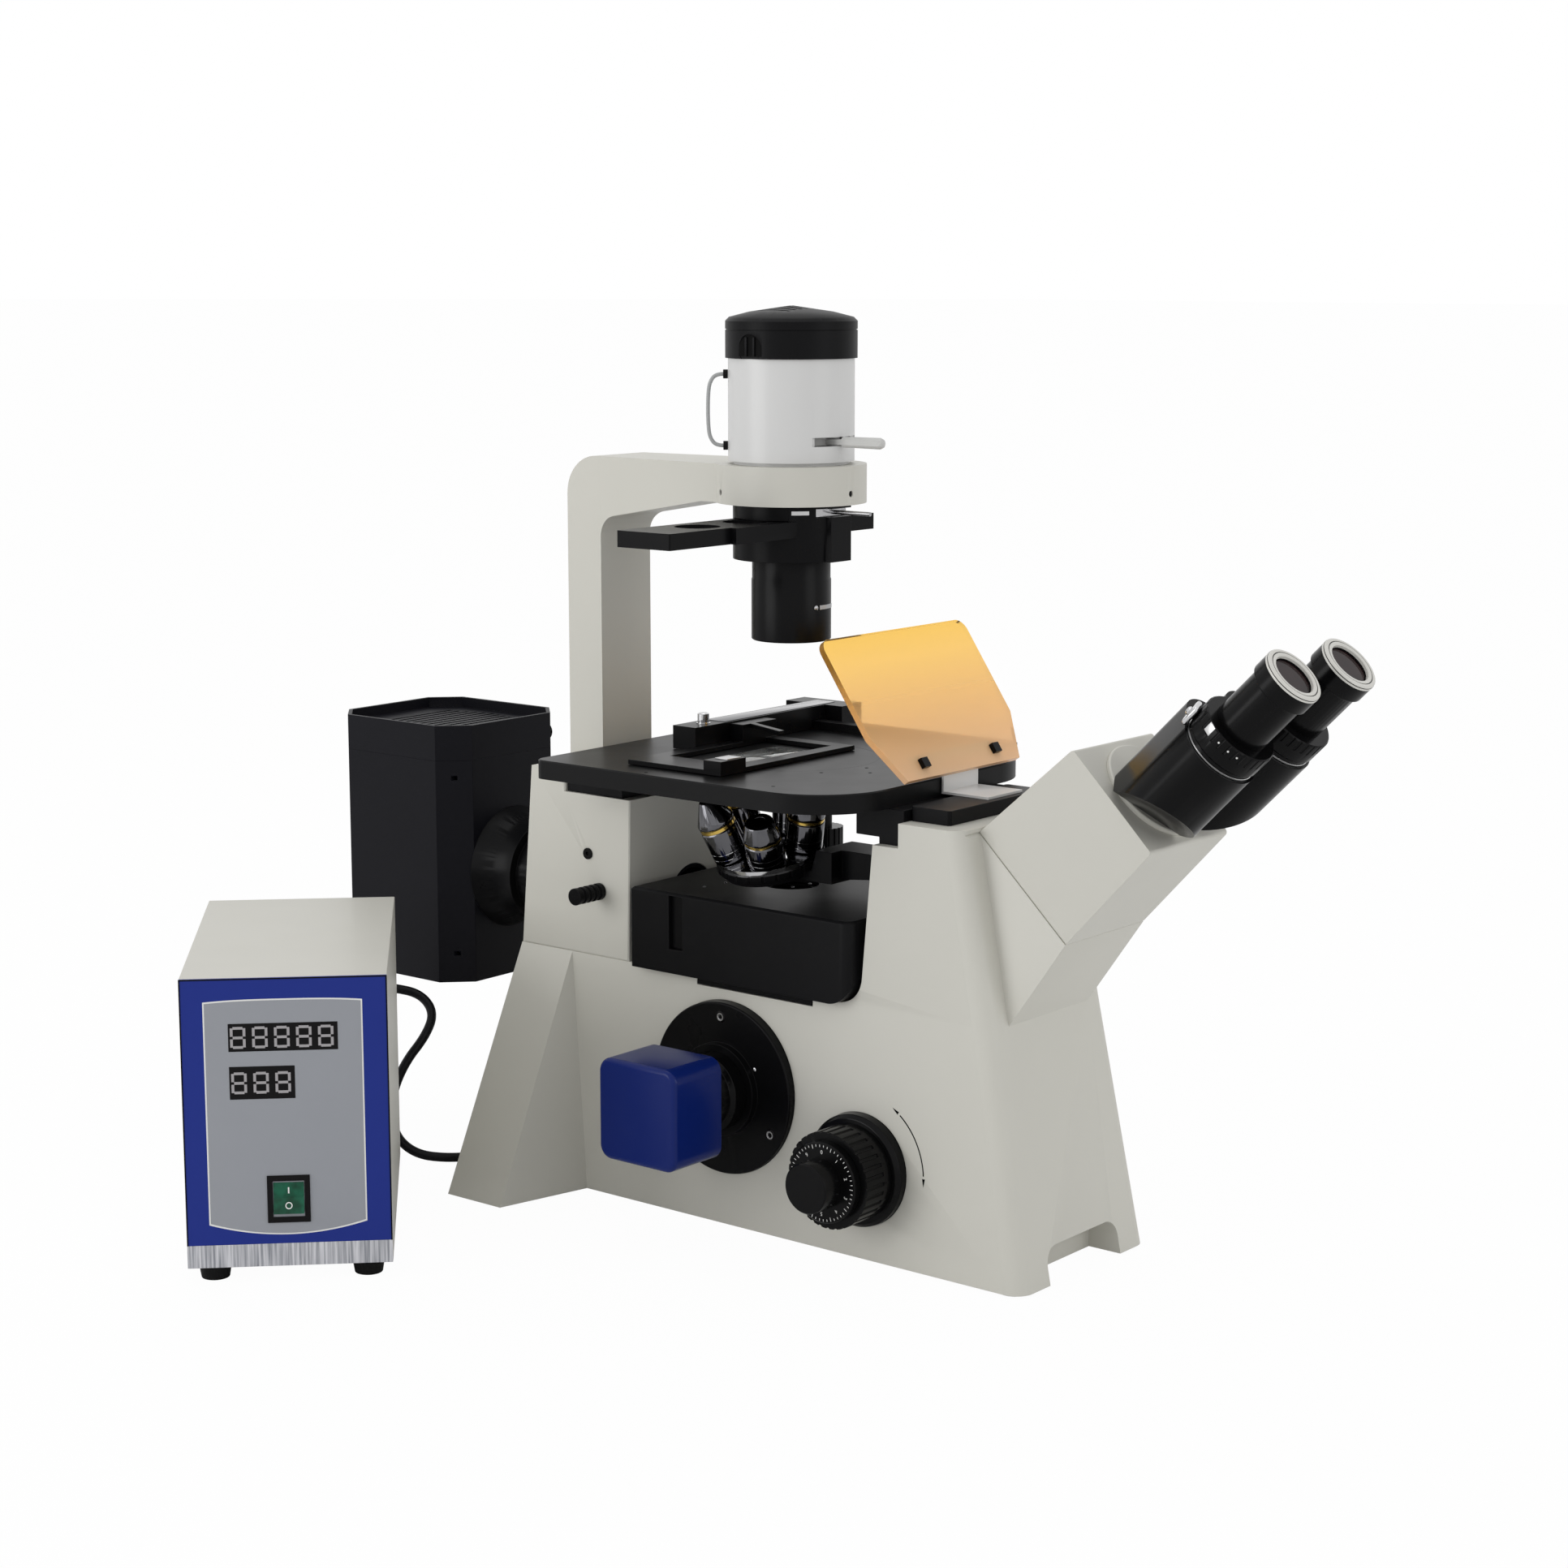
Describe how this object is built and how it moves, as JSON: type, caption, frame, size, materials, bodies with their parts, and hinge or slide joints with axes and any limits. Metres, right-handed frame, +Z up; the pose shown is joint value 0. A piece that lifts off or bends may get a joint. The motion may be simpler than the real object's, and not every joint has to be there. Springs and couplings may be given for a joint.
{
  "type": "inverted microscope",
  "caption": "Inverted fluorescence microscope with folding binocular head, turret of objectives under a fixed stage, pillar lamp, lamp house, camera port and lamp supply.",
  "frame": {"origin": "where the optical axis meets the bench", "axes": "+Z up along the optical axis, -Y towards the user and the eyepieces, -X towards the camera port"},
  "size_m": [0.4905, 0.7533, 0.5728],
  "materials": {
    "black_paint": "satin black",
    "black_plastic": "matt black",
    "chrome": "polished",
    "steel": "machined",
    "aluminium": "satin",
    "black_aluminium": "black anodised",
    "cream_aluminium": "satin cream-grey paint on a cast body",
    "blue_paint": "satin blue anodised",
    "panel_blue": "satin blue",
    "amber": "clear amber sheet",
    "glass": "polished",
    "rubber": "matt",
    "grey_cable": "matt",
    "black_cable": "matt",
    "white_aluminium": "white enamel on a turned shell",
    "green_plastic": "glossy",
    "white_steel": "satin white"
  },
  "bodies": {
    "stand": {"stand_casting": "cream_aluminium", "base_plate": "black_paint", "rubber_feet": "rubber", "optics": "glass", "rear_housing": "cream_aluminium", "illumination_arm": "cream_aluminium", "lamp_shell": "white_aluminium", "lamp_cap": "black_aluminium", "lamps": "glass", "condenser": "black_aluminium", "stage_plate": "black_aluminium", "stage_insert": "black_aluminium", "stage_supports": "black_aluminium", "shield": "amber", "shield_bracket": "white_steel", "machine_screws": "steel", "focus_collars": "black_aluminium", "filter_box": "black_aluminium", "filter_cube": "black_aluminium", "epi_tube": "black_aluminium", "lamphouse_shell": "black_aluminium", "lamphouse_lid": "black_aluminium", "head_box": "cream_aluminium", "port_flange": "black_aluminium", "camera_adapter": "black_aluminium", "camera_body": "blue_paint", "supply_cover": "white_steel", "supply_chassis": "steel", "supply_panel": "panel_blue", "supply_fittings": "black_plastic", "cable_glands": "rubber", "supply_cable": "black_cable", "lamp_lead": "grey_cable"},
    "nosepiece": {"nosepiece_carrier": "black_aluminium"},
    "turret": {"turret_dome": "chrome", "turret_ring": "black_aluminium", "objective_1": "chrome", "objective_2": "chrome", "objective_3": "chrome", "objective_4": "chrome", "objective_5": "chrome"},
    "coarse_drive": {"coarse_focus": "black_aluminium"},
    "fine_drive": {"fine_focus": "black_aluminium"},
    "ocular_left": {"prism_housing_left": "black_aluminium", "eyepiece_left": "black_aluminium"},
    "ocular_right": {"prism_housing_right": "black_aluminium", "eyepiece_right": "black_aluminium"},
    "diopter_left": {"diopter_ring_left": "black_plastic"},
    "diopter_right": {"diopter_ring_right": "black_plastic"},
    "phase_slide": {"phase_slider": "black_aluminium"},
    "aperture_ring": {"aperture_lever": "steel"},
    "field_ring": {"field_lever": "aluminium"},
    "stage_carriage": {"y_carriage": "black_aluminium"},
    "slide_holder": {"specimen_holder": "black_aluminium"},
    "y_knob": {"stage_knob_y": "black_plastic"},
    "x_knob": {"stage_knob_x": "black_plastic"},
    "filter_slide": {"filter_slider": "black_aluminium"},
    "light_stop": {"pull_rod": "black_aluminium"},
    "rocker": {"rocker_switch": "green_plastic"},
    "lamp_adjuster": {"lamphouse_knob": "black_plastic"}
  },
  "joints": [
    {"name": "nosepiece_lift", "type": "slide", "parent": "stand", "child": "nosepiece", "axis": [0, 0, 1], "range_m": [-0.005, 0.003]},
    {"name": "turret_turn", "type": "hinge", "parent": "nosepiece", "child": "turret", "pos_m": [0, 0, 0.1522], "axis": [-0.2588, 0, 0.9659], "continuous": true},
    {"name": "coarse_focus_turn", "type": "hinge", "parent": "stand", "child": "coarse_drive", "pos_m": [0, -0.107, 0.057], "axis": [1, 0, 0], "range_deg": [-28.8, 48]},
    {"name": "fine_focus_turn", "type": "hinge", "parent": "stand", "child": "fine_drive", "pos_m": [0, -0.107, 0.057], "axis": [1, 0, 0], "continuous": true},
    {"name": "right_eyepiece_fold", "type": "hinge", "parent": "stand", "child": "ocular_right", "pos_m": [0, -0.267, 0.298], "axis": [0, -0.7071, 0.7071], "range_deg": [-12, 20]},
    {"name": "left_eyepiece_fold", "type": "hinge", "parent": "stand", "child": "ocular_left", "pos_m": [0, -0.267, 0.298], "axis": [0, -0.7071, 0.7071], "range_deg": [-20, 12]},
    {"name": "left_diopter_turn", "type": "hinge", "parent": "ocular_left", "child": "diopter_left", "pos_m": [-0.031, -0.28114, 0.28386], "axis": [0, -0.7071, 0.7071], "range_deg": [-120, 120]},
    {"name": "right_diopter_turn", "type": "hinge", "parent": "ocular_right", "child": "diopter_right", "pos_m": [0.031, -0.28114, 0.28386], "axis": [0, -0.7071, 0.7071], "range_deg": [-120, 120]},
    {"name": "phase_slider_shift", "type": "slide", "parent": "stand", "child": "phase_slide", "axis": [1, 0, 0], "range_m": [0, 0.09]},
    {"name": "aperture_lever_turn", "type": "hinge", "parent": "stand", "child": "aperture_ring", "pos_m": [0, 0, 0.4473], "axis": [0, 0, 1], "range_deg": [-22, 70]},
    {"name": "field_lever_turn", "type": "hinge", "parent": "stand", "child": "field_ring", "pos_m": [0, 0, 0.4905], "axis": [0, 0, 1], "range_deg": [-22, 22]},
    {"name": "stage_y", "type": "slide", "parent": "stand", "child": "stage_carriage", "axis": [0, 1, 0], "range_m": [-0.035, 0.03]},
    {"name": "stage_x", "type": "slide", "parent": "stage_carriage", "child": "slide_holder", "axis": [1, 0, 0], "range_m": [-0.02, 0.04]},
    {"name": "y_knob_turn", "type": "hinge", "parent": "stage_carriage", "child": "y_knob", "pos_m": [0.1206, 0.0695, 0.21], "axis": [0, 0, 1], "range_deg": [-201, 172]},
    {"name": "x_knob_turn", "type": "hinge", "parent": "stage_carriage", "child": "x_knob", "pos_m": [0.1206, 0.0695, 0.2], "axis": [0, 0, 1], "range_deg": [-115, 230]},
    {"name": "filter_slider_pull", "type": "slide", "parent": "stand", "child": "filter_slide", "axis": [1, 0, 0], "range_m": [-0.032, 0]},
    {"name": "light_stop_pull", "type": "slide", "parent": "stand", "child": "light_stop", "axis": [1, 0, 0], "range_m": [-0.015, 0]},
    {"name": "supply_rocker", "type": "hinge", "parent": "stand", "child": "rocker", "pos_m": [-0.30936, 0.13419, 0.0515], "axis": [0.7071, -0.7071, 0], "range_deg": [0, 14]},
    {"name": "lamp_adjuster_turn", "type": "hinge", "parent": "stand", "child": "lamp_adjuster", "pos_m": [0.056, 0.2747, 0.273], "axis": [1, 0, 0], "range_deg": [-90, 90]}
  ],
  "couplings": [
    {"joint": "coarse_focus_turn", "follows": "nosepiece_lift", "rad_per_m": -166.67},
    {"joint": "left_eyepiece_fold", "follows": "right_eyepiece_fold", "ratio": -1},
    {"joint": "y_knob_turn", "follows": "stage_y", "rad_per_m": 100},
    {"joint": "x_knob_turn", "follows": "stage_x", "rad_per_m": 100}
  ]
}
